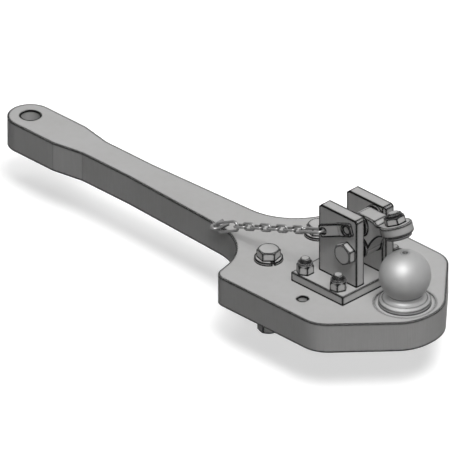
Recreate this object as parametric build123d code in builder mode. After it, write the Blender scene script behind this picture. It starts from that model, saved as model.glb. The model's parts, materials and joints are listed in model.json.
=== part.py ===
# Swinging drawbar plate with an 80 mm coupling ball and a pinned hold-down.
# The origin is the middle of the pivot eye's bore. +X runs along the arm to the ball, +Z is up.
import math
import os

from build123d import *

os.makedirs("parts", exist_ok=True)

# Drawbar plate: the outline is symmetric about the X axis
plate_thickness = 50
edge_break = 0.8
eye_radius = 36
eye_bore = 30
neck_start = 85
neck_end = 140
arm_half_width = 26
flare_start = 240
head_back_x = 546.5
head_length = 318.5
head_half_width = 145
throat_lead = 24.7
throat_half_width = 39
throat = (head_back_x - throat_lead, throat_half_width)
throat_radius = 100
back_corner_radius = 20
nose_x = head_back_x + head_length
side_end_setback = 103.3
side_end_x = nose_x - side_end_setback
side_corner_radius = 50
nose_half_width = 32
nose_straight_half = 4.1
plate_top = plate_thickness / 2
plate_bottom = -plate_thickness / 2

# Coupling ball
ball_setback = 55
ball_x = nose_x - ball_setback
ball_radius = 40
ball_rise = 47.5
ball_flat = 14.5
centre_drill = 6.5
centre_drill_depth = 8
neck_radius = 27.5
neck_height = 16
shoulder_radius = 34.8
shoulder_height = 9
collar_radius = 40.3
collar_height = 5.2
shank_radius = 25
shank_clearance = 0.05
spot_face_radius = 47.1
spot_face_depth = 0.8

# Tapped holes on both sides of the bracket
side_hole_setback = 117
side_hole_x = ball_x - side_hole_setback
side_hole_edge = 42.7
side_hole_spacing = 2 * (head_half_width - side_hole_edge)
side_hole_diameter = 15.2

# Bracket
bracket_setback = 113.5
bracket_x = ball_x - bracket_setback
bracket_length = 110
bracket_width = 150
bracket_thickness = 15
bracket_top = plate_top + bracket_thickness
cheek_lead = 9.5
cheek_x = bracket_x + cheek_lead
cheek_length = 80
cheek_thickness = 20
cheek_height = 115
cheek_gap = 40
cheek_front_chamfer = 4
cheek_top_chamfer = 3.5
cheek_face = cheek_gap / 2 + cheek_thickness
pivot_lead = 21
pivot_x = cheek_x + pivot_lead
pivot_height = 55
pin_height = 94.5
pivot_z = bracket_top + pivot_height
pin_z = bracket_top + pin_height
fit_clearance = 0.1

# Studs that hold the bracket, with self-locking nuts
stud_diameter = 16
stud_rear_setback = 40
stud_front_lead = 30.5
stud_rear_x = bracket_x - stud_rear_setback
stud_front_x = bracket_x + stud_front_lead
stud_edge = 15
stud_spacing = bracket_width - 2 * stud_edge
stud_depth = 32
stud_rise = 25
stud_hole_clearance = 0.75
stud_chamfer = 1.6
lock_nut_width = 24
lock_nut_height = 18.3
lock_nut_hex_height = 13.5
lock_nut_collar = 23.6
lock_nut_turns = (30, 50, 9, 20)
collar_fillet = 1.2
collar_recess_depth = 1.5
collar_recess_gap = 1.2

# Long bolts that clamp the plate to the vehicle's frame below it
clamp_lead = 25.5
clamp_x = head_back_x + clamp_lead
clamp_spacing = 108
clamp_diameter = 20
clamp_hole_clearance = 0.5
clamp_head_width = 32
clamp_head_height = 14
clamp_turn = 45
clamp_reach = 75
clamp_nut_width = 30
clamp_nut_height = 16
spring_washer_radius = 22
spring_washer_thickness = 5
spring_washer_slot = 3
spring_washer_turn = -25

# Pivot bolt through the cheeks
pivot_diameter = 20
pivot_head_width = 32
pivot_head_height = 12.5
pivot_nut_width = 30
pivot_nut_height = 16
pivot_washer_radius = 18.5
pivot_washer_thickness = 3
pivot_end = 4
pivot_turn = 30

# Hold-down arm
side_play = 0.3
web_half_width = 15
web_radius = 17
web_crown = 16.5
boss_radius = 18.5
web_top_length = 31
web_chamfer = 2
under_start = (15, -8)
under_middle = (28, 20)
flare_from = 40.4
flare_to = 17.5
ring_setback = 17.4
ring_x = ball_x - ring_setback
ring_height = 121.9
ring_z = plate_top + ring_height
ring_tilt = 20
ring_radius = 25.2
ring_thickness = 17
ring_chamfer = 1.8

# Pressure screw in the arm's ring
screw_diameter = 20
screw_rise = 18
screw_chamfer = 1.8
pad_radius = 20.5
pad_thickness = 5.5
pad_chamfer = 1
screw_nut_width = 30
screw_nut_height = 16
screw_nut_hex_height = 12
screw_nut_collar = 26
screw_nut_turn = 30

# Lock pin with its tab
pin_diameter = 16
pin_play = 0.3
pin_end = 4
pin_recess = 3
pin_chamfer = 2
tab_thickness = 5
tab_width = 21
tab_front = 11
tab_bend = 16.4
tab_back = 36
tab_angle = 19.5
tab_bend_angle = 12
tab_corner = 3.5
tab_gap = 0.3
chain_hole = 9
chain_hole_distance = 28.7

# Retaining chain: a staple on the plate's edge, two long rings and the links between them
staple_setback = 73.9
staple_x = throat[0] - staple_setback
staple_wire = 5
staple_length = 30
staple_width = 17
staple_overhang = 17
link_wire = 4
link_length = 28
link_width = 14.5
end_ring_wire = 4.5
end_ring_length = 55
end_ring_width = 19.5
end_ring_gap = 1.3
chain_slack = 0.25


def hexagon_bar(plane, width, height, chamfered_ends, turn):
    """A hexagonal bar on the plane, its ends turned down to the width across flats."""
    with BuildPart() as bar:
        with BuildSketch(plane):
            RegularPolygon(radius=width / 2, side_count=6, major_radius=False, rotation=turn)
        extrude(amount=height)
    corner = width / math.sqrt(3)
    slope = (corner - width / 2) * math.tan(math.radians(30))
    low = slope if "low" in chamfered_ends else 0
    high = slope if "high" in chamfered_ends else 0
    with BuildPart() as turned:
        with BuildSketch(Plane(plane.origin, x_dir=plane.x_dir, z_dir=-plane.y_dir)):
            with BuildLine():
                Polyline(
                    (0, 0),
                    (width / 2 if low else corner + 1, 0),
                    (corner, low) if low else (corner + 1, height / 2),
                    (corner, height - high) if high else (corner + 1, height / 2 + 1),
                    (width / 2 if high else corner + 1, height),
                    (0, height),
                    close=True,
                )
            make_face()
        revolve(axis=Axis(plane.origin, plane.z_dir))
    return bar.part & turned.part


def lock_nut(plane, width, hex_height, height, collar, bore, turn):
    """A self-locking nut: a hexagon with a rolled collar round its locking ring."""
    hexagon = hexagon_bar(plane, width, hex_height, ["high"], turn)
    with BuildPart() as rim:
        with BuildSketch(plane):
            Circle(collar / 2)
        extrude(amount=height)
        fillet(rim.faces().sort_by(Axis(plane.origin, plane.z_dir))[-1].edges(), collar_fillet)
    with BuildPart() as nut:
        add(hexagon)
        add(rim.part)
        with BuildSketch(plane):
            Circle(bore / 2)
        extrude(amount=height, mode=Mode.SUBTRACT)
        with BuildSketch(plane.offset(height)):
            Circle(bore / 2 + collar_recess_gap)
        extrude(amount=-collar_recess_depth, mode=Mode.SUBTRACT)
    return nut.part


def plain_nut(plane, width, height, bore, turn):
    """A hexagon nut turned down at both ends."""
    with BuildPart() as nut:
        add(hexagon_bar(plane, width, height, ["low", "high"], turn))
        with BuildSketch(plane):
            Circle(bore / 2)
        extrude(amount=height, mode=Mode.SUBTRACT)
    return nut.part


def hexagon_bolt(plane, width, head_height, diameter, length, turn):
    """A bolt whose head stands on the plane and whose shank runs the other way."""
    with BuildPart() as bolt:
        add(hexagon_bar(plane, width, head_height, ["high"], turn))
        with BuildSketch(plane):
            Circle(diameter / 2)
        extrude(amount=-length)
        end = bolt.faces().sort_by(Axis(plane.origin, plane.z_dir))[0]
        chamfer(end.edges(), diameter / 12)
    return bolt.part


def chain_loop(plane, length, width, wire):
    """A closed oval loop of round wire, long along the plane's x axis and centred on it."""
    reach = (length - width) / 2
    bend = (width - wire) / 2
    with BuildPart() as loop:
        with BuildLine(plane):
            run = Line((-reach, -bend), (reach, -bend))
            turn = CenterArc((reach, 0), bend, -90, 180)
            back = Line(turn @ 1, (-reach, bend))
            CenterArc((-reach, 0), bend, 90, 180)
        with BuildSketch(Plane(run @ 0, z_dir=run % 0)):
            Circle(wire / 2)
        sweep()
    return loop.part


def finish(part, name):
    """Label a finished piece and write it to its own file."""
    part.label = name
    export_step(part, f"parts/{name}.step")


# Drawbar plate
nose_turn = math.atan2(nose_x - side_end_x, head_half_width - nose_half_width)
nose_corner_radius = (nose_half_width - nose_straight_half) / math.tan(nose_turn / 2)
with BuildPart() as drawbar_plate:
    with BuildSketch(Plane.XY.offset(plate_bottom)) as plate_outline:
        with BuildLine():
            half = Polyline(
                (0, eye_radius),
                (neck_start, eye_radius),
                (neck_end, arm_half_width),
                (flare_start, arm_half_width),
                throat,
                (head_back_x, head_half_width),
                (side_end_x, head_half_width),
                (nose_x, nose_half_width),
                (nose_x, 0),
            )
            mirror(half, about=Plane.XZ)
            Line((0, eye_radius), (0, -eye_radius))
        make_face()
        Circle(eye_radius)
        for corner_x, radius in (
            (throat[0], throat_radius),
            (head_back_x, back_corner_radius),
            (side_end_x, side_corner_radius),
            (nose_x, nose_corner_radius),
        ):
            corners = plate_outline.vertices().filter_by_position(Axis.X, corner_x - 0.01, corner_x + 0.01)
            fillet(corners, radius)
    extrude(amount=plate_thickness)
    rims = drawbar_plate.faces().filter_by(Axis.Z)
    chamfer(rims.edges(), edge_break)
    with BuildSketch(Plane.XY.offset(plate_bottom)):
        Circle(eye_bore / 2)
        with Locations((ball_x, 0)):
            Circle(shank_radius + shank_clearance)
        with Locations((side_hole_x, 0)):
            with GridLocations(0, side_hole_spacing, 1, 2):
                Circle(side_hole_diameter / 2)
        with Locations((clamp_x, 0)):
            with GridLocations(0, clamp_spacing, 1, 2):
                Circle(clamp_diameter / 2 + clamp_hole_clearance)
    extrude(amount=plate_thickness, mode=Mode.SUBTRACT)
    with BuildSketch(Plane.XY.offset(plate_top)):
        with Locations((ball_x, 0)):
            Circle(spot_face_radius)
    extrude(amount=-spot_face_depth, mode=Mode.SUBTRACT)
    with BuildSketch(Plane.XY.offset(plate_top)):
        with Locations(((stud_rear_x + stud_front_x) / 2, 0)):
            with GridLocations(stud_front_x - stud_rear_x, stud_spacing, 2, 2):
                Circle(stud_diameter / 2 + fit_clearance / 2)
    extrude(amount=-stud_depth, mode=Mode.SUBTRACT)
finish(drawbar_plate.part, "drawbar_plate")

# Coupling ball, turned in one piece with its collar and shank
ball_z = plate_top + ball_rise
flat_z = ball_z + math.sqrt(ball_radius**2 - (ball_flat / 2) ** 2)
neck_z = plate_top + neck_height
neck_top_z = ball_z - math.sqrt(ball_radius**2 - neck_radius**2)
seat_z = plate_top - spot_face_depth
with BuildPart() as coupling_ball:
    with BuildSketch(Plane((ball_x, 0, 0), x_dir=(1, 0, 0), z_dir=(0, -1, 0))):
        with BuildLine():
            Line((0, plate_bottom), (shank_radius, plate_bottom))
            Line((shank_radius, plate_bottom), (shank_radius, seat_z))
            Line((shank_radius, seat_z), (collar_radius, seat_z))
            Line((collar_radius, seat_z), (collar_radius, plate_top + collar_height))
            Line(
                (collar_radius, plate_top + collar_height),
                (shoulder_radius, plate_top + shoulder_height),
            )
            flare = Spline(
                (shoulder_radius, plate_top + shoulder_height),
                (neck_radius, neck_z),
                tangents=((-1, 0.25), (0, 1)),
            )
            Line(flare @ 1, (neck_radius, neck_top_z))
            ThreePointArc(
                (neck_radius, neck_top_z),
                (ball_radius, ball_z),
                (ball_flat / 2, flat_z),
            )
            Line((ball_flat / 2, flat_z), (centre_drill / 2, flat_z))
            Line((centre_drill / 2, flat_z), (0, flat_z - centre_drill_depth))
            Line((0, flat_z - centre_drill_depth), (0, plate_bottom))
        make_face()
    revolve(axis=Axis((ball_x, 0, 0), (0, 0, 1)))
finish(coupling_ball.part, "coupling_ball")

# Bracket base plate
with BuildPart() as bracket_base:
    with BuildSketch(Plane.XY.offset(plate_top)):
        with Locations((bracket_x, 0)):
            Rectangle(bracket_length, bracket_width)
        with Locations(((stud_rear_x + stud_front_x) / 2, 0)):
            with GridLocations(stud_front_x - stud_rear_x, stud_spacing, 2, 2):
                Circle(stud_diameter / 2 + stud_hole_clearance, mode=Mode.SUBTRACT)
    extrude(amount=bracket_thickness)
    chamfer(bracket_base.faces().sort_by(Axis.Z)[-1].outer_wire().edges(), edge_break / 2)
finish(bracket_base.part, "bracket_base_plate")

# Cheeks
for name, side in (("right_cheek", -1), ("left_cheek", 1)):
    cheek_y = side * (cheek_gap + cheek_thickness) / 2
    with BuildPart() as cheek:
        with BuildSketch(Plane.XY.offset(bracket_top)):
            with Locations((cheek_x, cheek_y)):
                Rectangle(cheek_length, cheek_thickness)
        extrude(amount=cheek_height)
        front_edges = cheek.edges().filter_by(Axis.Z).group_by(Axis.X)[-1]
        inner_edge = front_edges.sort_by(Axis.Y)[0 if side > 0 else -1]
        chamfer(inner_edge, cheek_front_chamfer)
        top_ends = cheek.faces().sort_by(Axis.Z)[-1].edges().filter_by(Axis.Y)
        chamfer(top_ends, cheek_top_chamfer)
        with BuildSketch(Plane((pivot_x, -cheek_face, 0), x_dir=(1, 0, 0), z_dir=(0, -1, 0))):
            with Locations((0, pivot_z)):
                Circle(pivot_diameter / 2 + fit_clearance)
            with Locations((0, pin_z)):
                Circle(pin_diameter / 2 + fit_clearance)
        extrude(amount=-2 * cheek_face, mode=Mode.SUBTRACT)
    finish(cheek.part, name)

# Studs and lock nuts
stud_places = [
    (x, y)
    for x in (stud_rear_x, stud_front_x)
    for y in (-stud_spacing / 2, stud_spacing / 2)
]
for number, (x, y) in enumerate(stud_places, start=1):
    with BuildPart() as stud:
        with BuildSketch(Plane.XY.offset(plate_top - stud_depth)):
            with Locations((x, y)):
                Circle(stud_diameter / 2)
        extrude(amount=stud_depth + bracket_thickness + stud_rise)
        chamfer(stud.faces().sort_by(Axis.Z)[-1].edges(), stud_chamfer)
    finish(stud.part, f"bracket_stud_{number}")
    nut = lock_nut(
        Plane((x, y, bracket_top)),
        lock_nut_width,
        lock_nut_hex_height,
        lock_nut_height,
        lock_nut_collar,
        stud_diameter + fit_clearance,
        lock_nut_turns[number - 1],
    )
    finish(nut, f"bracket_lock_nut_{number}")

# Long clamp bolts with spring washers and nuts
for name, side in (("right", -1), ("left", 1)):
    y = side * clamp_spacing / 2
    clamp_length = spring_washer_thickness + plate_thickness + clamp_reach
    bolt = hexagon_bolt(
        Plane((clamp_x, y, plate_top + spring_washer_thickness)),
        clamp_head_width,
        clamp_head_height,
        clamp_diameter,
        clamp_length,
        clamp_turn,
    )
    finish(bolt, f"{name}_clamp_bolt")
    with BuildPart() as washer:
        with BuildSketch(Plane((clamp_x, y, plate_top))):
            Circle(spring_washer_radius)
            Circle(clamp_diameter / 2 + fit_clearance, mode=Mode.SUBTRACT)
            with Locations(Location((0, 0), spring_washer_turn)):
                Rectangle(
                    2 * spring_washer_radius,
                    spring_washer_slot,
                    align=(Align.MIN, Align.CENTER),
                    mode=Mode.SUBTRACT,
                )
        extrude(amount=spring_washer_thickness)
    finish(washer.part, f"{name}_spring_washer")
    nut = plain_nut(
        Plane((clamp_x, y, plate_bottom - clamp_reach + clamp_diameter / 10)),
        clamp_nut_width,
        clamp_nut_height,
        clamp_diameter + fit_clearance,
        clamp_turn,
    )
    finish(nut, f"{name}_clamp_nut")

# Pivot bolt, its washer and its nut
pivot_length = 2 * cheek_face + pivot_washer_thickness + pivot_nut_height + pivot_end
pivot_bolt = hexagon_bolt(
    Plane((pivot_x, -cheek_face, pivot_z), x_dir=(1, 0, 0), z_dir=(0, -1, 0)),
    pivot_head_width,
    pivot_head_height,
    pivot_diameter,
    pivot_length,
    pivot_turn,
)
finish(pivot_bolt, "pivot_bolt")
with BuildPart() as pivot_washer:
    with BuildSketch(Plane((pivot_x, cheek_face, pivot_z), x_dir=(1, 0, 0), z_dir=(0, 1, 0))):
        Circle(pivot_washer_radius)
        Circle(pivot_diameter / 2 + fit_clearance, mode=Mode.SUBTRACT)
    extrude(amount=pivot_washer_thickness)
finish(pivot_washer.part, "pivot_washer")
pivot_nut = plain_nut(
    Plane((pivot_x, cheek_face + pivot_washer_thickness, pivot_z), x_dir=(1, 0, 0), z_dir=(0, 1, 0)),
    pivot_nut_width,
    pivot_nut_height,
    pivot_diameter + fit_clearance,
    pivot_turn,
)
finish(pivot_nut, "pivot_nut")

# Hold-down arm: two bosses, a web between them and the ring that carries the pressure screw
tilt = math.radians(ring_tilt)
ring_axis = (-math.sin(tilt), 0, math.cos(tilt))
ring_plane = Plane((ring_x, 0, ring_z), x_dir=(math.cos(tilt), 0, math.sin(tilt)), z_dir=ring_axis)
arm_half_gap = cheek_gap / 2 - side_play
pin_offset = pin_z - pivot_z
ring_offset = (ring_x - pivot_x, ring_z - pivot_z)
ring_back_top = (
    ring_offset[0] - ring_radius * math.cos(tilt) - ring_thickness / 2 * math.sin(tilt),
    ring_offset[1] - ring_radius * math.sin(tilt) + ring_thickness / 2 * math.cos(tilt),
)
ring_back_low = (
    ring_offset[0] - ring_radius * math.cos(tilt) + ring_thickness / 2 * math.sin(tilt),
    ring_offset[1] - ring_radius * math.sin(tilt) - ring_thickness / 2 * math.cos(tilt),
)
ring_middle_top = (
    ring_offset[0] - ring_thickness / 2 * math.sin(tilt),
    ring_offset[1] + ring_thickness / 2 * math.cos(tilt),
)
ring_middle_low = (
    ring_offset[0] + ring_thickness / 2 * math.sin(tilt),
    ring_offset[1] - ring_thickness / 2 * math.cos(tilt),
)
crown_angle = math.degrees(math.asin(web_crown / web_radius))
side_plane = Plane((pivot_x, 0, pivot_z), x_dir=(1, 0, 0), z_dir=(0, -1, 0))
flare_half_width = math.sqrt(ring_radius**2 - flare_to**2)
arm_reach = math.hypot(ring_offset[0], ring_offset[1]) + web_radius
with BuildPart() as arm:
    with BuildSketch(side_plane):
        with BuildLine():
            back = CenterArc((0, pin_offset), web_radius, 180, -crown_angle)
            Line(back @ 1, (web_top_length, pin_offset + web_crown))
            Line((web_top_length, pin_offset + web_crown), ring_back_top)
            Line(ring_back_top, ring_middle_top)
            Line(ring_middle_top, ring_middle_low)
            Line(ring_middle_low, ring_back_low)
            ThreePointArc(ring_back_low, under_middle, under_start)
            Line(under_start, (0, 0))
            Line((0, 0), (-web_radius, 0))
            Line((-web_radius, 0), (-web_radius, pin_offset))
        make_face()
        Circle(web_radius)
    extrude(amount=flare_half_width, both=True)
    with BuildSketch(ring_plane):
        with BuildLine():
            side = Polyline(
                (-arm_reach, 0),
                (-arm_reach, web_half_width),
                (-flare_from, web_half_width),
                (-flare_to, flare_half_width),
                (0, flare_half_width),
                (0, 0),
            )
            mirror(side, about=Plane.XZ)
        make_face()
    extrude(amount=arm_reach, both=True, mode=Mode.INTERSECT)
    long_edges = arm.edges().filter_by(lambda e: abs(e.center().Y) > web_half_width - 0.1)
    upper_edges = long_edges.filter_by_position(Axis.Z, pin_z, pin_z + web_radius)
    chamfer(upper_edges.filter_by_position(Axis.X, pivot_x, ring_x - ring_radius), web_chamfer)
    for plane in (side_plane.offset(web_half_width), side_plane.offset(-arm_half_gap)):
        with BuildSketch(plane):
            Circle(boss_radius)
            with Locations((0, pin_offset)):
                Circle(boss_radius)
        extrude(amount=arm_half_gap - web_half_width)
    with BuildSketch(ring_plane):
        Circle(ring_radius)
    extrude(amount=ring_thickness / 2, both=True)
    rims = arm.edges().filter_by(GeomType.CIRCLE).filter_by(lambda e: abs(e.radius - ring_radius) < 0.01)
    chamfer(rims, ring_chamfer)
    with BuildSketch(side_plane):
        Circle(pivot_diameter / 2 + fit_clearance)
        with Locations((0, pin_offset)):
            Circle(pin_diameter / 2 + pin_play)
    extrude(amount=arm_half_gap, both=True, mode=Mode.SUBTRACT)
    with BuildSketch(ring_plane):
        Circle(screw_diameter / 2 + fit_clearance)
    extrude(amount=ring_thickness, both=True, mode=Mode.SUBTRACT)
finish(arm.part, "hold_down_arm")

# Pressure screw with its dished pad, and the lock nut on top of the ring
screw_seat = ring_plane.offset(-ring_thickness / 2)
screw_axis = Axis(ring_plane.origin, ring_plane.z_dir)
with BuildPart() as screw:
    with BuildSketch(screw_seat):
        Circle(pad_radius)
    extrude(amount=-pad_thickness)
    chamfer(screw.faces().sort_by(screw_axis)[0].edges(), pad_chamfer)
    with BuildSketch(screw_seat):
        Circle(screw_diameter / 2)
    extrude(amount=ring_thickness + screw_rise)
    chamfer(screw.faces().sort_by(screw_axis)[-1].edges(), screw_chamfer)
finish(screw.part, "pressure_screw")
screw_nut = lock_nut(
    ring_plane.offset(ring_thickness / 2),
    screw_nut_width,
    screw_nut_hex_height,
    screw_nut_height,
    screw_nut_collar,
    screw_diameter + fit_clearance,
    screw_nut_turn,
)
finish(screw_nut, "pressure_screw_nut")

# Lock pin and the bent tab welded to its end
tab_direction = (math.cos(math.radians(tab_angle)), 0, math.sin(math.radians(tab_angle)))
tab_across = (math.sin(math.radians(tab_angle)), 0, -math.cos(math.radians(tab_angle)))
tab_face = -cheek_face - tab_gap
tab_side = Plane((pivot_x, tab_face, pin_z), x_dir=tab_direction, z_dir=tab_across)
bend = math.radians(tab_bend_angle)
back_tip = (-tab_bend - tab_back * math.cos(bend), tab_back * math.sin(bend))
with BuildPart() as pin:
    with BuildSketch(Plane((pivot_x, tab_face - tab_thickness + pin_recess, pin_z), z_dir=(0, 1, 0))):
        Circle(pin_diameter / 2)
    extrude(amount=-tab_face + tab_thickness - pin_recess + cheek_face + pin_end)
    chamfer(pin.faces().sort_by(Axis.Y)[-1].edges(), pin_chamfer)
finish(pin.part, "lock_pin")
with BuildPart() as tab:
    with BuildSketch(tab_side):
        with BuildLine():
            Polyline(
                (tab_front, 0),
                (-tab_bend, 0),
                back_tip,
                (back_tip[0] + tab_thickness * math.sin(bend), back_tip[1] + tab_thickness * math.cos(bend)),
                (-tab_bend + tab_thickness * math.tan(bend / 2), tab_thickness),
                (tab_front, tab_thickness),
                close=True,
            )
        make_face()
    extrude(amount=tab_width / 2, both=True)
    along = Axis(tab_side.origin, tab_side.x_dir)
    ends = tab.faces().sort_by(along)
    corners = ends[0].edges().filter_by(lambda e: e.length < tab_thickness + 0.1)
    corners += ends[-1].edges().filter_by(lambda e: e.length < tab_thickness + 0.1)
    fillet(corners, tab_corner)
    with BuildSketch(Plane((pivot_x, tab_face, pin_z), z_dir=(0, -1, 0))):
        Circle(pin_diameter / 2 + fit_clearance / 2)
    extrude(amount=tab_thickness, mode=Mode.SUBTRACT)
    hole_distance = tab_bend + chain_hole_distance * math.cos(bend)
    hole_depth = chain_hole_distance * math.sin(bend) + tab_thickness / 2
    hole_centre = tab_side.from_local_coords((-hole_distance, hole_depth, 0))
    hole_normal = tab_side.from_local_coords(
        (-hole_distance + math.sin(bend), hole_depth + math.cos(bend), 0)
    ) - hole_centre
    with BuildSketch(Plane(hole_centre, z_dir=hole_normal)):
        Circle(chain_hole / 2)
    extrude(amount=tab_thickness, both=True, mode=Mode.SUBTRACT)
finish(tab.part, "lock_pin_tab")

# Staple: a bent bar welded flat on the plate's edge, its bow standing out past the side
flare_slope = (throat[1] - arm_half_width) / (throat[0] - flare_start)
edge_y = -(arm_half_width + flare_slope * (staple_x - flare_start))
staple_end_y = edge_y - staple_overhang
staple_bend = (staple_width - staple_wire) / 2
staple_z = plate_top + staple_wire / 2
with BuildPart() as staple:
    with BuildLine():
        leg = Line(
            (staple_x + staple_bend, staple_end_y + staple_length, staple_z),
            (staple_x + staple_bend, staple_end_y + staple_width / 2, staple_z),
        )
        ThreePointArc(
            leg @ 1,
            (staple_x, staple_end_y + staple_width / 2 - staple_bend, staple_z),
            (staple_x - staple_bend, staple_end_y + staple_width / 2, staple_z),
        )
        Line(
            (staple_x - staple_bend, staple_end_y + staple_width / 2, staple_z),
            (staple_x - staple_bend, staple_end_y + staple_length, staple_z),
        )
    with BuildSketch(Plane(leg @ 0, z_dir=leg % 0)):
        Circle(staple_wire / 2)
    sweep()
finish(staple.part, "chain_staple")

# Chain: the first ring rises from the staple, the links and the last ring run on to the tab
ring_reach = end_ring_length - 2 * end_ring_wire
link_pitch = link_length - 2 * link_wire - chain_slack
staple_leg = Vector(
    staple_x + staple_bend,
    edge_y - (staple_overhang - staple_wire) / 2,
    staple_z,
)
chain_end = Vector(hole_centre.X, -cheek_face - end_ring_gap - end_ring_width / 2, hole_centre.Z)
chord = chain_end - staple_leg
first_reach = ring_reach - staple_wire / 2 - 2 * chain_slack
last_reach = ring_reach + end_ring_wire / 2
link_count = 2 * math.ceil((chord.length - first_reach - last_reach) / (2 * link_pitch))
run_reach = link_count * link_pitch + last_reach
bow = math.acos(
    (first_reach**2 + chord.length**2 - run_reach**2) / (2 * first_reach * chord.length)
)
chord_side = chord.cross(Vector(0, 0, 1)).normalized()
chord_up = chord_side.cross(chord.normalized())
rise = chord.normalized() * math.cos(bow) + chord_up * math.sin(bow)
first_start = staple_leg - rise * (staple_wire / 2 + chain_slack)
first_ring = chain_loop(
    Plane(first_start + rise * (ring_reach / 2), x_dir=rise, z_dir=chord_side),
    end_ring_length,
    end_ring_width,
    end_ring_wire,
)
finish(first_ring, "chain_ring_plate_end")
place = staple_leg + rise * first_reach
run = (chain_end - place).normalized()
across = run.cross(Vector(0, 0, 1)).normalized()
upward = across.cross(run)
links = []
for number in range(link_count):
    facing = across if number % 2 else upward
    centre = place + run * (link_length / 2 - link_wire)
    links.append(chain_loop(Plane(centre, x_dir=run, z_dir=facing), link_length, link_width, link_wire))
    place += run * link_pitch
finish(Compound(children=links), "retaining_chain")
last_ring = chain_loop(
    Plane(place + run * (ring_reach / 2), x_dir=run, z_dir=upward),
    end_ring_length,
    end_ring_width,
    end_ring_wire,
)
finish(last_ring, "chain_ring_pin_end")
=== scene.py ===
import json
import math

import bmesh
import bpy
from mathutils import Matrix, Vector


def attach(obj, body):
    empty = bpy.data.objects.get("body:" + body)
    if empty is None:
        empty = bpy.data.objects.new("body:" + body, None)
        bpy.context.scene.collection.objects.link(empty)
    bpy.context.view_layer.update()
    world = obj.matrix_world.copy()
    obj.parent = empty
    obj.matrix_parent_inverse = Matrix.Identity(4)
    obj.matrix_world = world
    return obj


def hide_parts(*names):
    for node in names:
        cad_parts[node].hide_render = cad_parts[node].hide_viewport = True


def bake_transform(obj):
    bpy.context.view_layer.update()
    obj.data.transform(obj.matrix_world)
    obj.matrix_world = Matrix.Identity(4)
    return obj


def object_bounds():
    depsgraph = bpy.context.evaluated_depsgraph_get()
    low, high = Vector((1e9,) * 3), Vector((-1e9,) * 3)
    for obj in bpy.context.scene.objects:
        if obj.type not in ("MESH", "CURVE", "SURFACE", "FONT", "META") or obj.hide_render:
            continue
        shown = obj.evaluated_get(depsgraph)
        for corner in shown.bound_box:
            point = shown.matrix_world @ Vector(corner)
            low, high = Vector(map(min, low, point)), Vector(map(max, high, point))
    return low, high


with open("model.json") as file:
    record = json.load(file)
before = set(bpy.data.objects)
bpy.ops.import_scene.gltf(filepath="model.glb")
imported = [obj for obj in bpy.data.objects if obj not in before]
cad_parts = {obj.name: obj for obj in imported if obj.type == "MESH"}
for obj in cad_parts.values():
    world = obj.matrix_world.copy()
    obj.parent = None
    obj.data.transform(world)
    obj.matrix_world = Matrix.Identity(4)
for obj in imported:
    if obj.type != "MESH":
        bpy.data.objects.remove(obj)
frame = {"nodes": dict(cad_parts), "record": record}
cad_low, cad_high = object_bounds()
scene = bpy.context.scene

# Places and sizes of the source, in metres
BRACKET_TOP = 0.040
BALL_X = 0.810
SPOT_RADIUS = 0.0471
CHEEK_FACE = 0.040
STUD_X = (0.6565, 0.727)
STUD_Y = 0.060
STUD_RADIUS = 0.008
STUD_LOW = -0.007
STUD_HIGH = 0.065
STUD_PITCH = 0.002
BOLT_RADIUS = 0.010
BOLT_PITCH = 0.0025
BOLT_HEAD_WIDTH = 0.032
CLAMP_X = 0.572
CLAMP_Y = 0.054
CLAMP_SEAT = 0.030
CLAMP_LOW = -0.100
CLAMP_HEAD_HEIGHT = 0.014
CLAMP_TURN = 45
CLAMP_THREAD = 0.052
PIVOT = Vector((0.727, 0.0, 0.095))
PIVOT_LENGTH = 0.103
PIVOT_HEAD_HEIGHT = 0.0125
PIVOT_TURN = 30
PIVOT_THREAD = 0.030
RING_CENTRE = Vector((0.7926, 0.0, 0.1469))
RING_TILT = math.radians(20)
RING_HALF = 0.0085
SCREW_TOP = RING_HALF + 0.018
PAD_RADIUS = 0.0205
PAD_LOW = -RING_HALF - 0.0055
PAD_CHAMFER = 0.001

# Camera: the photograph is a parallel view, so the lens is very long
VIEW_CENTRE = Vector((0.4634, -0.0307, 0.0243))
VIEW_FROM = Vector((0.612372, -0.612372, 0.5))
HALF_WIDTH = 0.3496
LENS = 1600
SENSOR = 36

half_angle = math.atan(SENSOR / 2 / LENS)
camera = bpy.data.objects.new("camera", bpy.data.cameras.new("camera"))
scene.collection.objects.link(camera)
camera.data.lens = LENS
camera.data.sensor_width = SENSOR
camera.data.clip_start = 1
camera.data.clip_end = 80
camera.location = VIEW_CENTRE + VIEW_FROM * (HALF_WIDTH / math.tan(half_angle))
camera.rotation_mode = "QUATERNION"
camera.rotation_quaternion = (-VIEW_FROM).to_track_quat("-Z", "Y")
scene.camera = camera
scene.view_settings.view_transform = "Standard"


# Materials. Scales are in features per metre, widths and depths in metres.
CLOUD_SCALE = 14
PATCH_SCALE = 90
GRAIN_SCALE = 900
GRAIN_DEPTH = 0.0004
DRAG_SCALE = 420
DRAG_STRETCH = (1.0, 1.0, 0.035)
DRAG_DEPTH = 0.0009
TURNING_PITCH = 0.0009
TURNING_DEPTH = 0.00006
HAZE_SCALE = 60
POLISH_PITCH = 0.0004
POLISH_DEPTH = 0.00008
SCRATCH_SCALE = 2200
SCRATCH_STRETCH = (0.12, 0.12, 1.0)
SCRATCH_DEPTH = 0.00006
BALL_SOFT = 0.0007
# Reach of the painted shade in seams where parts meet:
PAINTED_SEAM_SHADE_WIDTH = 0.0022
LINE_SAMPLES = 8
SOFT_SAMPLES = 6


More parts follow.
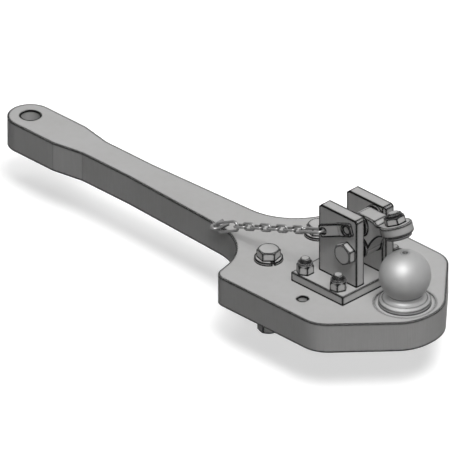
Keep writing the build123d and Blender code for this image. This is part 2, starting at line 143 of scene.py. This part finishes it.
class Net:
    """The node tree of a material or a world, built call by call."""

    def __init__(self, owner):
        owner.use_nodes = True
        self.owner = owner
        self.tree = owner.node_tree
        self.tree.nodes.clear()

    def node(self, kind, inputs=None, **settings):
        made = self.tree.nodes.new(kind)
        for key, value in settings.items():
            setattr(made, key, value)
        for key, value in (inputs or {}).items():
            self.put(made.inputs[key], value)
        return made

    def put(self, socket, value):
        if isinstance(value, bpy.types.NodeSocket):
            self.tree.links.new(value, socket)
        else:
            socket.default_value = value

    def math(self, operation, first, second=0.0):
        return self.node("ShaderNodeMath", {0: first, 1: second}, operation=operation).outputs[0]

    def vector_math(self, operation, first, second):
        return self.node("ShaderNodeVectorMath", {0: first, 1: second}, operation=operation).outputs

    def place(self):
        return self.node("ShaderNodeTexCoord").outputs["Object"]

    def stretched(self, place, scale):
        return self.node("ShaderNodeMapping", {"Vector": place, "Scale": scale}).outputs[0]

    def noise(self, place, scale, detail, roughness=0.55):
        inputs = {"Vector": place, "Scale": scale, "Detail": detail, "Roughness": roughness}
        return self.node("ShaderNodeTexNoise", inputs).outputs["Fac"]

    def ramp(self, value, low, high, to_low=0.0, to_high=1.0):
        inputs = {"Value": value, "From Min": low, "From Max": high, "To Min": to_low, "To Max": to_high}
        return self.node("ShaderNodeMapRange", inputs).outputs[0]

    def mix(self, factor, first, second):
        made = self.node("ShaderNodeMix", data_type="RGBA", blend_type="MIX")
        self.put(made.inputs[0], factor)
        self.put(made.inputs[6], first)
        self.put(made.inputs[7], second)
        return made.outputs[2]

    def bump(self, height, strength, distance, normal):
        inputs = {"Height": height, "Strength": strength, "Distance": distance, "Normal": normal}
        return self.node("ShaderNodeBump", inputs).outputs[0]

    def rounded(self, radius, samples):
        return self.node("ShaderNodeBevel", {"Radius": radius}, samples=samples).outputs[0]

    def darken_edges_and_paint_seam_shade(self, colour, tone, width, share):
        """The colour with a dark line along sharp edges, and painted shade in inner corners and in the seams
        where parts meet, all down to a share of the tone.
        """
        face = self.node("ShaderNodeNewGeometry").outputs["Normal"]
        # Dark where the rounded normal turns from the face: an outline on outer edges, painted shade in
        # inner corners
        turn = self.vector_math("DOT_PRODUCT", self.rounded(width, LINE_SAMPLES), face)["Value"]
        dark = grey(tone * share)
        edged = self.mix(self.ramp(turn, 0.9995, 0.988), colour, dark)
        # Painted shade: occlusion darkens the colour in seams and gaps where parts meet
        painted_seam_shade = self.node("ShaderNodeAmbientOcclusion", {"Distance": PAINTED_SEAM_SHADE_WIDTH}, samples=LINE_SAMPLES)
        return self.mix(self.ramp(painted_seam_shade.outputs["AO"], 0.85, 0.45), edged, dark)

    def surface(self, colour, roughness, normal, metallic, shine):
        inputs = {
            "Base Color": colour, "Roughness": roughness, "Normal": normal,
            "Metallic": metallic, "Specular IOR Level": shine,
        }
        shader = self.node("ShaderNodeBsdfPrincipled", inputs)
        self.node("ShaderNodeOutputMaterial", {"Surface": shader.outputs[0]})

    def directly_seen(self):
        """1 for rays from the camera, from gloss and through glass, and 0 for the light on things."""
        path = self.node("ShaderNodeLightPath").outputs
        seen = self.math("MAXIMUM", path["Is Camera Ray"], path["Is Glossy Ray"])
        return self.math("MAXIMUM", seen, path["Is Transmission Ray"])


def grey(value, warmth=0.0):
    """A neutral colour, a little warm where warmth is above 0."""
    return (value * (1 + warmth), value, value * (1 - warmth), 1.0)


def steel(
    name, tone, contrast, rough, grain, line, metallic=0.0, shine=0.05, soft=0.0008, cut=0.0, turned=None
):
    """Steel with cloudy tone, fine grain, rounded edges with a dark line, painted shade in inner corners and
    seams, and cut or turned marks.

    line is the dark line's width and the share of the tone that the line and the painted seam shade go down
    to. turned is a spot face: centre, radius, tone.
    """
    net = Net(bpy.data.materials.new(name))
    place = net.place()
    cloud = net.noise(place, CLOUD_SCALE, 4)
    patch = net.noise(place, PATCH_SCALE, 5, 0.65)
    fine = net.noise(place, GRAIN_SCALE, 3, 0.6)
    clouds = net.math("ADD", net.math("MULTIPLY", cloud, 0.6), net.math("MULTIPLY", patch, 0.4))
    dull = grey(tone * (1 - contrast), 0.010)
    bright = grey(tone * (1 + contrast), 0.004)
    colour = net.mix(net.ramp(clouds, 0.38, 0.62), dull, bright)
    specks = net.ramp(fine, 0.30, 0.42, 0.86, 1.0)
    colour = net.mix(net.math("SUBTRACT", 1.0, specks), colour, grey(tone * 0.6))
    normal = net.bump(fine, grain, GRAIN_DEPTH, net.rounded(soft, SOFT_SAMPLES))
    roughness = net.ramp(patch, 0.3, 0.7, rough - 0.06, rough + 0.06)
    if cut:
        face = net.node("ShaderNodeNewGeometry").outputs["Normal"]
        up = net.node("ShaderNodeSeparateXYZ", {0: face}).outputs[2]
        upright = net.ramp(net.math("ABSOLUTE", up), 0.25, 0.15)
        drag = net.noise(net.stretched(place, DRAG_STRETCH), DRAG_SCALE, 3, 0.6)
        normal = net.bump(net.math("MULTIPLY", drag, upright), cut, DRAG_DEPTH, normal)
        streak = net.math("MULTIPLY", net.ramp(drag, 0.35, 0.65, 0.0, 0.14), upright)
        colour = net.mix(streak, colour, grey(tone * 0.62))
    if turned:
        centre, radius, spot_tone = turned
        flat = net.vector_math("MULTIPLY", place, (1.0, 1.0, 0.0))[0]
        away = net.vector_math("DISTANCE", flat, centre)["Value"]
        inside = net.ramp(away, radius, radius - 0.0003)
        rings = net.math("SINE", net.math("MULTIPLY", away, 2 * math.pi / TURNING_PITCH))
        normal = net.bump(net.math("MULTIPLY", rings, inside), 0.25, TURNING_DEPTH, normal)
        colour = net.mix(inside, colour, grey(spot_tone, 0.004))
        roughness = net.math("SUBTRACT", roughness, net.math("MULTIPLY", inside, 0.15))
    net.surface(net.darken_edges_and_paint_seam_shade(colour, tone, *line), roughness, normal, metallic, shine)
    return net.owner


def polished(name, tone, rough, metallic, shine, line):
    """Turned and polished steel: fine rings round the vertical axis, faint scratches, a haze, and a dark
    edge line with painted shade in inner corners and seams.
    """
    net = Net(bpy.data.materials.new(name))
    place = net.place()
    height = net.node("ShaderNodeSeparateXYZ", {0: place}).outputs[2]
    rings = net.node("ShaderNodeCombineXYZ", {2: height}).outputs[0]
    turning = net.noise(rings, 1 / POLISH_PITCH, 2, 0.6)
    haze = net.noise(place, HAZE_SCALE, 4, 0.6)
    scratch = net.noise(net.stretched(place, SCRATCH_STRETCH), SCRATCH_SCALE, 2, 0.5)
    colour = net.mix(net.ramp(haze, 0.35, 0.65), grey(tone * 0.965), grey(tone * 1.03, 0.004))
    normal = net.bump(turning, 0.10, POLISH_DEPTH, net.rounded(BALL_SOFT, SOFT_SAMPLES))
    normal = net.bump(scratch, 0.05, SCRATCH_DEPTH, normal)
    roughness = net.ramp(haze, 0.3, 0.7, rough - 0.03, rough + 0.04)
    net.surface(net.darken_edges_and_paint_seam_shade(colour, tone, *line), roughness, normal, metallic, shine)
    return net.owner


fastener_steel = steel(
    "fastener_steel", tone=0.46, contrast=0.05, rough=0.44, grain=0.10, line=(0.0048, 0.01),
    shine=0.08, soft=0.0006,
)
thread_steel = steel(
    "thread_steel", tone=0.42, contrast=0.05, rough=0.42, grain=0.08, line=(0.0026, 0.05),
    metallic=0.05, shine=0.06, soft=0.0003,
)
chain_steel = steel(
    "chain_steel", tone=0.20, contrast=0.10, rough=0.34, grain=0.08, line=(0.0010, 0.30),
    metallic=0.15, shine=0.45, soft=0.0004,
)
SLOT_MATERIALS = {
    "plate_steel": steel(
        "plate_steel", tone=0.43, contrast=0.035, rough=0.52, grain=0.20, line=(0.0062, 0.01),
        soft=0.0012, cut=0.35, turned=((BALL_X, 0.0, 0.0), SPOT_RADIUS, 0.46),
    ),
    "bracket_steel": steel(
        "bracket_steel", tone=0.43, contrast=0.035, rough=0.50, grain=0.18, line=(0.0054, 0.01), cut=0.15
    ),
    "forged_steel": steel(
        "forged_steel", tone=0.42, contrast=0.05, rough=0.50, grain=0.30, line=(0.0052, 0.02), soft=0.0010
    ),
    "fastener_steel": fastener_steel,
    "chain_steel": chain_steel,
    "polished_steel": polished(
        "polished_steel", tone=0.335, rough=0.57, metallic=0.04, shine=0.86, line=(0.0048, 0.02)
    ),
}
for part in frame["record"]["subparts"]:
    mesh = frame["nodes"][part["node"]].data
    mesh.materials.clear()
    mesh.materials.append(SLOT_MATERIALS[part["material_slot"]])


# Mesh pieces
ROD_SEGMENTS = 48
HEAD_SEGMENTS = 96
PAD_SEGMENTS = 72
RINGS_PER_PITCH = 7
RINGS_PER_CORNER = 6
THREAD_DEPTH = 0.6
THREAD_FLANK = 1.25
THREAD_RUNOUT = 0.001
PAST_END = 0.002
END_CHAMFER = 0.0015
TIP_STEP = 0.0008
SCREW_CHAMFER = 0.0018
SCREW_TIP_STEP = 0.0009
FACE_OFFSET = 0.0002
HEAD_CIRCLE = 0.985
HEAD_SLOPE = math.tan(math.radians(30))


def mesh_of(bm, name):
    bmesh.ops.recalc_face_normals(bm, faces=bm.faces)
    mesh = bpy.data.meshes.new(name)
    bm.to_mesh(mesh)
    bm.free()
    return mesh


def added(name, data):
    obj = bpy.data.objects.new(name, data)
    scene.collection.objects.link(obj)
    return obj


def piece(name, mesh, materials, body, replaced):
    """A smooth mesh piece that rides on a body, takes a slot's finish and stands for CAD nodes."""
    obj = added(name, mesh)
    for material in materials:
        mesh.materials.append(material)
    for face in mesh.polygons:
        face.use_smooth = True
    if body:
        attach(obj, body)
    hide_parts(*replaced)
    return obj


def sharpen(obj, degrees):
    """Smooth shading, with edges sharper than an angle left sharp."""
    bm = bmesh.new()
    bm.from_mesh(obj.data)
    for edge in bm.edges:
        edge.smooth = len(edge.link_faces) == 2 and edge.calc_face_angle(0) < math.radians(degrees)
    bm.to_mesh(obj.data)
    bm.free()


def second_material(bm, count):
    """Gives the faces made after the first count of them the piece's second material."""
    for face in list(bm.faces)[count:]:
        face.material_index = 1


def spread(low, high, step):
    """Heights from low to high, about a step apart."""
    count = max(1, round((high - low) / step))
    return [low + (high - low) * k / count for k in range(count + 1)]


def rod(bm, place, rings, segments, radius_at):
    """A closed bar along the placed z axis; radius_at gives its radius at a height and an angle."""
    rows = []
    for z in rings:
        row = []
        for k in range(segments):
            angle = 2 * math.pi * k / segments
            radius = radius_at(z, angle)
            row.append(bm.verts.new(place @ Vector((radius * math.cos(angle), radius * math.sin(angle), z))))
        rows.append(row)
    for lower, upper in zip(rows, rows[1:]):
        for k in range(segments):
            m = (k + 1) % segments
            bm.faces.new((lower[k], lower[m], upper[m], upper[k]))
    for row, z, flip in ((rows[0], rings[0], True), (rows[-1], rings[-1], False)):
        middle = bm.verts.new(place @ Vector((0, 0, z)))
        for k in range(segments):
            m = (k + 1) % segments
            corners = (row[m], row[k], middle) if flip else (row[k], row[m], middle)
            bm.faces.new(corners)


def thread_radius(radius, pitch, low, high, end_low=None, end_high=None, chamfer=END_CHAMFER):
    """The radius of a bar with a rolled thread between two heights and turned-down ends."""

    def at(z, angle):
        r = radius
        if low < z < high:
            phase = (z / pitch - angle / (2 * math.pi)) % 1.0
            tooth = 1 - abs(2 * phase - 1)
            fade = min(1.0, (z - low) / pitch, (high - z) / (0.5 * pitch))
            r = radius - THREAD_DEPTH * pitch * fade * (1 - min(1.0, tooth * THREAD_FLANK))
        if end_high is not None:
            r = min(r, radius - chamfer + (end_high - z))
        if end_low is not None:
            r = min(r, radius - chamfer + (z - end_low))
        return r

    return at


def hexagon_radius(width, height, turn):
    """The radius of a hexagon head whose top is turned down to a circle, at a height and an angle."""

    def at(z, angle):
        turned = (angle - turn) % (math.pi / 3) - math.pi / 6
        flat = width / 2 / math.cos(turned)
        cone = width / 2 * HEAD_CIRCLE + (height - z) / HEAD_SLOPE
        return min(flat, cone)

    return at


def head_rings(height, width):
    """Heights of a head, close together where its turned-down corners run out."""
    corner = (width / math.sqrt(3) - width / 2 * HEAD_CIRCLE) * HEAD_SLOPE
    return [0.0, height - corner * 1.02] + spread(height - corner, height, corner / RINGS_PER_CORNER)[1:]


def pad_radius(z, angle):
    """The radius of the screw's round pad, with a chamfer at its foot."""
    return min(PAD_RADIUS, PAD_RADIUS - PAD_CHAMFER + (z - PAD_LOW))


def bolt(name, place, height, turn, length, thread, replaced):
    """A hexagon bolt with a threaded end. The head stands on the placed plane, the shank runs below."""
    bm = bmesh.new()
    at = hexagon_radius(BOLT_HEAD_WIDTH, height, math.radians(turn))
    rod(bm, place, head_rings(height, BOLT_HEAD_WIDTH), HEAD_SEGMENTS, at)
    head_faces = len(bm.faces)
    low = -length
    rings = [low, low + TIP_STEP]
    rings += spread(low + 2 * TIP_STEP, low + thread, BOLT_PITCH / RINGS_PER_PITCH)
    rings += [low + thread + THREAD_RUNOUT, FACE_OFFSET]
    at = thread_radius(BOLT_RADIUS, BOLT_PITCH, low - PAST_END, low + thread, end_low=low)
    rod(bm, place, rings, ROD_SEGMENTS, at)
    second_material(bm, head_faces)
    materials = (fastener_steel, thread_steel)
    made = piece(name, mesh_of(bm, name), materials, "drawbar", [replaced])
    sharpen(made, degrees=28)


# Studs of the bracket
stud_places = [(x, y, 0) for x in STUD_X for y in (-STUD_Y, STUD_Y)]
for number, stud_place in enumerate(stud_places, start=1):
    bm = bmesh.new()
    rings = [STUD_LOW, 0.0, BRACKET_TOP - THREAD_RUNOUT]
    rings += spread(BRACKET_TOP, STUD_HIGH - 2 * TIP_STEP, STUD_PITCH / RINGS_PER_PITCH)
    rings += [STUD_HIGH - TIP_STEP, STUD_HIGH]
    at = thread_radius(STUD_RADIUS, STUD_PITCH, BRACKET_TOP, STUD_HIGH + PAST_END, end_high=STUD_HIGH)
    rod(bm, Matrix.Translation(stud_place), rings, ROD_SEGMENTS, at)
    stud = piece(
        f"threaded_stud_{number}", mesh_of(bm, "stud"), [thread_steel], "drawbar",
        [f"bracket_stud_{number}"],
    )
    sharpen(stud, degrees=45)

# Long clamp bolts through the head, and the pivot bolt through the cheeks
for side, y in (("right", -CLAMP_Y), ("left", CLAMP_Y)):
    bolt(
        f"{side}_long_bolt", Matrix.Translation((CLAMP_X, y, CLAMP_SEAT)), CLAMP_HEAD_HEIGHT,
        CLAMP_TURN, CLAMP_SEAT - CLAMP_LOW, CLAMP_THREAD, f"{side}_clamp_bolt",
    )
sideways = Matrix.Translation((PIVOT.x, -CHEEK_FACE, PIVOT.z)) @ Matrix.Rotation(math.pi / 2, 4, "X")
bolt(
    "threaded_pivot_bolt", sideways, PIVOT_HEAD_HEIGHT, PIVOT_TURN, PIVOT_LENGTH, PIVOT_THREAD, "pivot_bolt"
)

# Pressure screw with its pad
tilted = Matrix.Translation(RING_CENTRE) @ Matrix.Rotation(-RING_TILT, 4, "Y")
bm = bmesh.new()
rings = [-RING_HALF + FACE_OFFSET, RING_HALF - THREAD_RUNOUT]
rings += spread(RING_HALF, SCREW_TOP - 2 * SCREW_TIP_STEP, BOLT_PITCH / RINGS_PER_PITCH)
rings += [SCREW_TOP - SCREW_TIP_STEP, SCREW_TOP]
at = thread_radius(
    BOLT_RADIUS, BOLT_PITCH, RING_HALF, SCREW_TOP + PAST_END, end_high=SCREW_TOP, chamfer=SCREW_CHAMFER
)
rod(bm, tilted, rings, ROD_SEGMENTS, at)
thread_faces = len(bm.faces)
rings = [PAD_LOW, PAD_LOW + PAD_CHAMFER / 2, PAD_LOW + PAD_CHAMFER, -RING_HALF]
rod(bm, tilted, rings, PAD_SEGMENTS, pad_radius)
second_material(bm, thread_faces)
screw = piece(
    "threaded_pressure_screw", mesh_of(bm, "screw"), (thread_steel, fastener_steel), "hold_down",
    ["pressure_screw"],
)
sharpen(screw, degrees=40)

# Chain: length, width and wire of a link and of the two end rings
LINK = (0.028, 0.0145, 0.004)
END_RING = (0.055, 0.0195, 0.0045)
SLACK = 0.00025
WIRE_SEGMENTS = 14
BEND_STEPS = 14
RUN_STEPS = 7
WELD_SWELL = 0.10


def track(length, width, wire):
    """The centre line of an oval loop in its own plane, as points with the angle that faces out."""
    reach = (length - width) / 2
    bend = (width - wire) / 2
    points = []
    for side in (1, -1):
        start = -math.pi / 2 * side
        for k in range(BEND_STEPS):
            angle = start + math.pi * k / BEND_STEPS
            points.append((side * reach + bend * math.cos(angle), bend * math.sin(angle), angle))
        for k in range(RUN_STEPS):
            points.append((side * reach * (1 - 2 * k / RUN_STEPS), side * bend, start + math.pi))
    return points


def link(bm, centre, along, normal, length, width, wire):
    """An oval link of round wire, with the swelling of its weld on one straight side."""
    across = normal.cross(along).normalized()
    rows = []
    for u, v, angle in track(length, width, wire):
        out = along * math.cos(angle) + across * math.sin(angle)
        swell = 1.0
        if v < 0 and abs(u) < wire:
            swell = 1.0 + WELD_SWELL * math.cos(u / wire * math.pi / 2)
        row = []
        for k in range(WIRE_SEGMENTS):
            turn = 2 * math.pi * k / WIRE_SEGMENTS
            offset = out * math.cos(turn) + normal * math.sin(turn)
            row.append(bm.verts.new(centre + along * u + across * v + offset * (wire / 2 * swell)))
        rows.append(row)
    for first, second in zip(rows, rows[1:] + rows[:1]):
        for k in range(WIRE_SEGMENTS):
            m = (k + 1) % WIRE_SEGMENTS
            bm.faces.new((first[k], second[k], second[m], first[m]))


# The staple's outer bow and the place in the tab's hole where the last ring ends, as in the source
STAPLE_LEG = Vector((0.4539, -0.04159, 0.0275))
STAPLE_WIRE = 0.005
TAB_BEND_AT = 0.0164
TAB_HOLE_AT = 0.0287
TAB_ANGLE = math.radians(19.5)
TAB_BEND = math.radians(12)
PIN_Z = 0.1345
RING_GAP = 0.0013
UP = Vector((0, 0, 1))

hole_distance = TAB_BEND_AT + TAB_HOLE_AT * math.cos(TAB_BEND)
chain_end = Vector((
    PIVOT.x - hole_distance * math.cos(TAB_ANGLE),
    -CHEEK_FACE - RING_GAP - END_RING[1] / 2,
    PIN_Z - hole_distance * math.sin(TAB_ANGLE),
))
ring_reach = END_RING[0] - 2 * END_RING[2]
link_pitch = LINK[0] - 2 * LINK[2] - SLACK
chord = chain_end - STAPLE_LEG
first_reach = ring_reach - STAPLE_WIRE / 2 - 2 * SLACK
last_reach = ring_reach + END_RING[2] / 2
link_count = 2 * math.ceil((chord.length - first_reach - last_reach) / (2 * link_pitch))
run_reach = link_count * link_pitch + last_reach

# The first ring rises above the chord by the angle that closes the triangle with the straight run
bow = math.acos((first_reach**2 + chord.length**2 - run_reach**2) / (2 * first_reach * chord.length))
chord_side = chord.cross(UP).normalized()
chord_up = chord_side.cross(chord.normalized())
rise = chord.normalized() * math.cos(bow) + chord_up * math.sin(bow)
first_start = STAPLE_LEG - rise * (STAPLE_WIRE / 2 + SLACK)
bm = bmesh.new()
link(bm, first_start + rise * (ring_reach / 2), rise, chord_side, *END_RING)
spot = STAPLE_LEG + rise * first_reach
run = (chain_end - spot).normalized()
run_side = run.cross(UP).normalized()
run_up = run_side.cross(run)
for number in range(link_count):
    facing = run_side if number % 2 else run_up
    link(bm, spot + run * (LINK[0] / 2 - LINK[2]), run, facing, *LINK)
    spot = spot + run * link_pitch
link(bm, spot + run * (ring_reach / 2), run, run_up, *END_RING)
chain = piece(
    "welded_chain", mesh_of(bm, "chain"), [chain_steel], None,
    ["chain_ring_plate_end", "retaining_chain", "chain_ring_pin_end"],
)
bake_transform(chain)

# Floor: white to the camera and to reflections, with the object's shadow kept, and dim to the rest
FLOOR_HALF = 60
FLOOR_DROP = 0.0005
FLOOR_GLOW = 0.30
FLOOR_DIM = 0.06

net = Net(bpy.data.materials.new("floor"))
paper = net.mix(net.noise(net.place(), 3, 2), grey(0.93), grey(0.95))
pale = net.node("ShaderNodeBsdfDiffuse", {"Color": paper})
glow = net.node("ShaderNodeEmission", {"Color": grey(1.0), "Strength": FLOOR_GLOW})
lit = net.node("ShaderNodeAddShader", {0: pale.outputs[0], 1: glow.outputs[0]})
dim = net.node("ShaderNodeBsdfDiffuse", {"Color": grey(FLOOR_DIM)})
both = net.node("ShaderNodeMixShader", {0: net.directly_seen(), 1: dim.outputs[0], 2: lit.outputs[0]})
net.node("ShaderNodeOutputMaterial", {"Surface": both.outputs[0]})

floor_z = cad_low.z - FLOOR_DROP
bm = bmesh.new()
corners = ((-1, -1), (1, -1), (1, 1), (-1, 1))
bm.faces.new([bm.verts.new((x * FLOOR_HALF, y * FLOOR_HALF, floor_z)) for x, y in corners])
mesh = bpy.data.meshes.new("floor")
bm.to_mesh(mesh)
bm.free()
mesh.materials.append(net.owner)
floor = added("floor", mesh)

# World: white to the camera and to reflections, a dim even sky to everything else
SKY_DIM = 0.02

scene.world = bpy.data.worlds.new("world")
sky = Net(scene.world)
strength = sky.ramp(sky.directly_seen(), 0.0, 1.0, SKY_DIM, 1.0)
background = sky.node("ShaderNodeBackground", {"Color": grey(1.0), "Strength": strength})
sky.node("ShaderNodeOutputWorld", {"Surface": background.outputs[0]})


def sun(name, towards, strength, angle):
    """A broad lamp far away in a direction; strength is its brightness on a face turned to it."""
    data = bpy.data.lights.new(name, "SUN")
    data.energy = strength
    data.angle = math.radians(angle)
    lamp = added(name, data)
    lamp.rotation_mode = "QUATERNION"
    lamp.rotation_quaternion = Vector(towards).to_track_quat("Z", "Y")
    return lamp


# Four lamps give the faces their tone, two of them without shadows, and a fifth gives only the gloss
MAIN = (0.37, -0.21, 0.70)
soft_main = sun("soft_main", MAIN, strength=1.36, angle=24)
main = sun("main", MAIN, strength=1.16, angle=24)
overhead = sun("overhead", (0.15, -0.03, 1.0), strength=0.88, angle=45)
back = sun("back", (-0.7, 0.7, 0.0), strength=0.55, angle=40)
for lamp in (soft_main, back):
    lamp.data.use_shadow = False
for lamp in (soft_main, main, overhead, back):
    lamp.visible_glossy = False
gloss = sun("gloss", (0.251, -0.568, 0.783), strength=10.5, angle=12)
gloss.visible_diffuse = False
